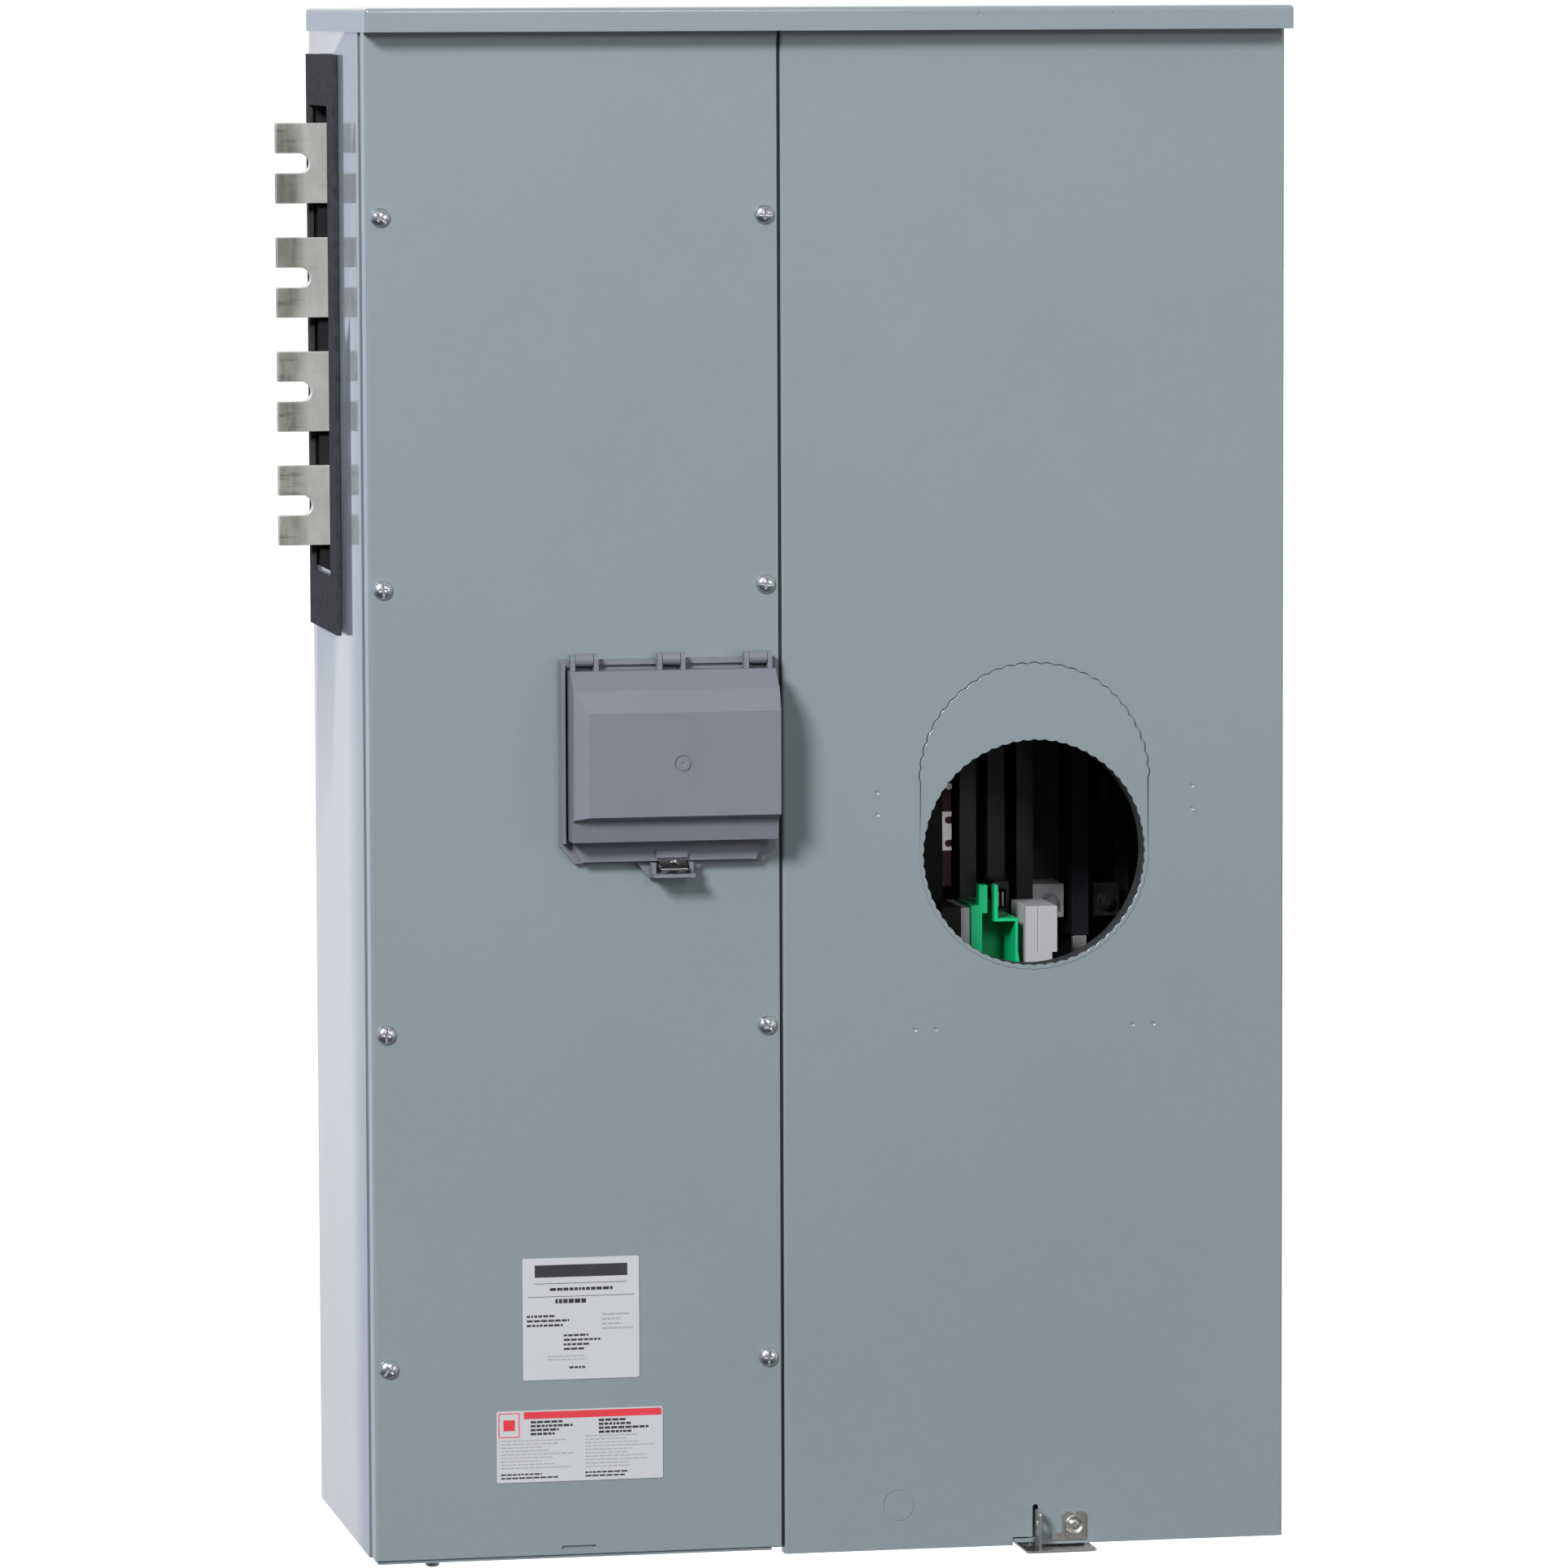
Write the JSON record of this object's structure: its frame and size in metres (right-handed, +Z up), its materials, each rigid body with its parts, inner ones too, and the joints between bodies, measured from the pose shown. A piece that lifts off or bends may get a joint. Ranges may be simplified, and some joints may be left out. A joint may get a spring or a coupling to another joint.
{
  "type": "meter socket enclosure",
  "caption": "Outdoor wall-mounted steel enclosure: breaker compartment under a hinged flap, tilt-out cover with a round meter opening, and bus bars out of the left side.",
  "frame": {"origin": "centre of the flat back that lies on the wall: middle of the width between the side walls, middle of the height from the side walls' lower edge to the top of the rain cap", "axes": "+Z up, +Y into the wall, so the covers face -Y, and +X is the right-hand side seen from the front"},
  "size_m": [0.707, 0.335, 1.1282],
  "materials": {
    "paint": "glossy light grey powder coat on steel sheet",
    "steel": "bright steel",
    "zinc": "zinc plated steel",
    "tin": "dull tin plating",
    "foam": "black closed-cell foam",
    "grey_plastic": "moulded grey",
    "black_plastic": "moulded black",
    "sleeve": "black insulating sleeve on a bar",
    "green_plastic": "moulded green",
    "light_plastic": "moulded light grey",
    "red_board": "red-brown insulating board",
    "label": "white film"
  },
  "bodies": {
    "enclosure": {"enclosure_body": "paint", "rain_cap": "paint", "centre_divider": "paint", "left_cover": "paint", "bus_gasket": "foam", "bus_bar_1": "tin", "bus_bar_2": "tin", "bus_bar_3": "tin", "bus_bar_4": "tin", "bus_pad": "foam", "bus_support_left": "black_plastic", "bus_support_right": "black_plastic", "bus_closing_plate": "paint", "breaker_body": "black_plastic", "breaker_plate": "steel", "flap_base": "grey_plastic", "cover_screw_1": "zinc", "cover_screw_2": "zinc", "cover_screw_3": "zinc", "cover_screw_4": "zinc", "cover_screw_5": "zinc", "cover_screw_6": "zinc", "cover_screw_7": "zinc", "cover_screw_8": "zinc", "bottom_screw": "zinc", "meter_cover_staple": "steel", "rating_label": "label", "warning_label": "label", "meter_base_board": "black_plastic", "socket_block": "black_plastic", "green_barrier": "green_plastic", "grey_block_left": "light_plastic", "grey_block_right": "light_plastic", "test_terminal_block": "black_plastic", "riser_1": "sleeve", "riser_2": "sleeve", "riser_3": "sleeve", "line_pad_1": "tin", "line_pad_2": "tin", "line_pad_3": "tin", "line_bolt_1": "zinc", "line_bolt_2": "zinc", "line_bolt_3": "zinc", "load_strap_1": "tin", "load_strap_2": "tin", "load_strap_3": "tin", "link_board": "red_board", "link_bar": "tin", "neutral_strap": "tin", "earth_lug": "tin"},
    "flap": {"breaker_flap": "grey_plastic", "flap_hasp": "steel"},
    "tilting_cover": {"meter_cover": "paint", "meter_insert": "paint", "insert_retainer": "paint", "meter_foam_ring": "foam", "seal_bracket": "steel", "seal_screw": "steel"},
    "toggle": {"breaker_handle": "black_plastic"}
  },
  "joints": [
    {"name": "flap_hinge", "type": "hinge", "parent": "enclosure", "child": "flap", "pos_m": [-0.12, -0.3015, 0.094], "axis": [-1, 0, 0], "range_deg": [0, 110]},
    {"name": "cover_tilt", "type": "hinge", "parent": "enclosure", "child": "tilting_cover", "pos_m": [0, -0.29, 0.551], "axis": [-1, 0, 0], "range_deg": [0, 25]},
    {"name": "toggle_throw", "type": "hinge", "parent": "enclosure", "child": "toggle", "pos_m": [-0.12, -0.252, 0.021], "axis": [1, 0, 0], "range_deg": [0, 36]}
  ]
}
